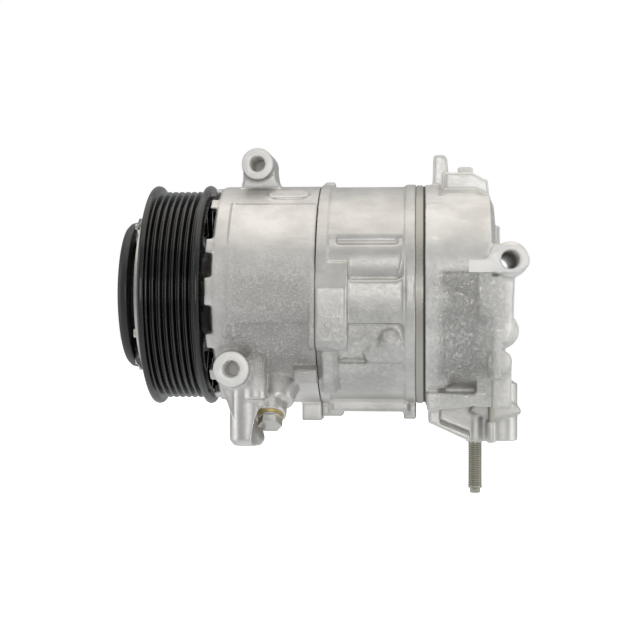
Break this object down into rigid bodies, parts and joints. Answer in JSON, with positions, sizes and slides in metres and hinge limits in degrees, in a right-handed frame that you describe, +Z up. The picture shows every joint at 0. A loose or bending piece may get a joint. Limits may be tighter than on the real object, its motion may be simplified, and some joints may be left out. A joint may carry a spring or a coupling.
{
  "type": "automotive refrigerant compressor",
  "caption": "Swash-plate refrigerant compressor with grooved belt pulley, three-part cast housing, side mounting ears, port block and internal pumping parts.",
  "frame": {"origin": "shaft axis at the belt centre plane of the pulley", "axes": "+X along the shaft from the pulley toward the rear housing, +Z up, -Y the side the mounting ears face"},
  "size_m": [0.2245, 0.1271, 0.1942],
  "materials": {
    "cast_aluminium": "satin, as cast",
    "block_aluminium": "satin, as cast",
    "plate_steel": "blued, satin",
    "reed_steel": "smooth",
    "gasket_black": "matt",
    "zinc_steel": "zinc plated",
    "bearing_steel": "ground",
    "washer_gold": "satin",
    "stud_steel": "olive grey plating",
    "cap_plastic": "white, matt",
    "pulley_black": "gloss black",
    "hub_black": "semi-gloss black",
    "damper_rubber": "matt",
    "bronze_plate": "coated",
    "piston_aluminium": "machined"
  },
  "bodies": {
    "casing": {"front_housing": "cast_aluminium", "cylinder_block": "block_aluminium", "rear_housing": "cast_aluminium", "valve_plate": "plate_steel", "suction_reed_plate": "reed_steel", "discharge_reed_plate": "reed_steel", "retainer_gasket": "gasket_black", "seam_o_ring": "gasket_black", "through_bolts": "zinc_steel", "oil_plug": "zinc_steel", "oil_plug_washer": "washer_gold", "port_stud": "stud_steel", "port_pin": "stud_steel", "top_cap": "cap_plastic", "shaft_seal": "gasket_black", "seal_snap_ring": "zinc_steel", "bearing_inner_ring": "bearing_steel", "bearing_snap_ring": "zinc_steel", "front_needle_shell": "bearing_steel", "rear_needle_shell": "bearing_steel", "front_thrust_washers": "bearing_steel", "rear_thrust_washers": "bearing_steel", "piston_1": "piston_aluminium", "piston_2": "piston_aluminium", "piston_3": "piston_aluminium", "piston_4": "piston_aluminium", "piston_5": "piston_aluminium", "piston_6": "piston_aluminium", "piston_7": "piston_aluminium", "shoes": "bearing_steel", "control_valve_body": "zinc_steel", "control_valve_seals": "gasket_black", "control_valve_spring": "zinc_steel", "check_valve_cage": "zinc_steel", "check_valve_spring": "zinc_steel", "relief_valve_body": "zinc_steel", "relief_valve_spring": "zinc_steel"},
    "rotor": {"shaft": "bearing_steel", "lug_plate": "zinc_steel", "hinge_pin": "bearing_steel", "swash_plate": "bronze_plate", "destroke_spring": "zinc_steel", "swash_circlip": "zinc_steel", "pulley": "pulley_black", "bearing_outer_ring": "bearing_steel", "drive_ring": "zinc_steel", "hub_plate": "zinc_steel", "hub_cover": "hub_black", "damper_rubber": "damper_rubber", "hub_rivets": "zinc_steel", "centre_nut": "zinc_steel"},
    "bearing_ball_set": {"bearing_balls": "bearing_steel"},
    "front_needle_set": {"front_needle_cage": "bearing_steel"},
    "rear_needle_set": {"rear_needle_cage": "bearing_steel"},
    "front_thrust_set": {"front_thrust_cage": "bearing_steel"},
    "rear_thrust_set": {"rear_thrust_cage": "bearing_steel"},
    "control_plunger": {"control_valve_plunger": "bearing_steel"},
    "check_poppet": {"check_valve_poppet": "bearing_steel"},
    "relief_poppet": {"relief_valve_poppet": "bearing_steel"}
  },
  "joints": [
    {"name": "shaft_spin", "type": "hinge", "parent": "casing", "child": "rotor", "pos_m": [0, 0, 0], "axis": [1, 0, 0], "continuous": true},
    {"name": "bearing_ball_orbit", "type": "hinge", "parent": "casing", "child": "bearing_ball_set", "pos_m": [0, 0, 0], "axis": [1, 0, 0], "continuous": true},
    {"name": "front_needle_orbit", "type": "hinge", "parent": "casing", "child": "front_needle_set", "pos_m": [0.02, 0, 0], "axis": [1, 0, 0], "continuous": true},
    {"name": "rear_needle_orbit", "type": "hinge", "parent": "casing", "child": "rear_needle_set", "pos_m": [0.104, 0, 0], "axis": [1, 0, 0], "continuous": true},
    {"name": "front_thrust_orbit", "type": "hinge", "parent": "casing", "child": "front_thrust_set", "pos_m": [0.036, 0, 0], "axis": [1, 0, 0], "continuous": true},
    {"name": "rear_thrust_orbit", "type": "hinge", "parent": "casing", "child": "rear_thrust_set", "pos_m": [0.1205, 0, 0], "axis": [1, 0, 0], "continuous": true},
    {"name": "control_valve_stroke", "type": "slide", "parent": "casing", "child": "control_plunger", "axis": [0, -1, 0], "range_m": [0, 0.0008], "stiffness_N_per_m": 4000, "deforming": ["control_valve_spring"]},
    {"name": "check_valve_lift", "type": "slide", "parent": "casing", "child": "check_poppet", "axis": [0, 0, -1], "range_m": [0, 0.003], "stiffness_N_per_m": 300, "springref_m": -0.002, "deforming": ["check_valve_spring"]},
    {"name": "relief_valve_lift", "type": "slide", "parent": "casing", "child": "relief_poppet", "axis": [1, 0, 0], "range_m": [0, 0.001], "stiffness_N_per_m": 8000, "springref_m": -0.004, "deforming": ["relief_valve_spring"]}
  ],
  "couplings": [
    {"joint": "bearing_ball_orbit", "follows": "shaft_spin", "ratio": 0.56225},
    {"joint": "front_needle_orbit", "follows": "shaft_spin", "ratio": 0.44662},
    {"joint": "rear_needle_orbit", "follows": "shaft_spin", "ratio": 0.44662},
    {"joint": "front_thrust_orbit", "follows": "shaft_spin", "ratio": 0.5},
    {"joint": "rear_thrust_orbit", "follows": "shaft_spin", "ratio": 0.5}
  ]
}
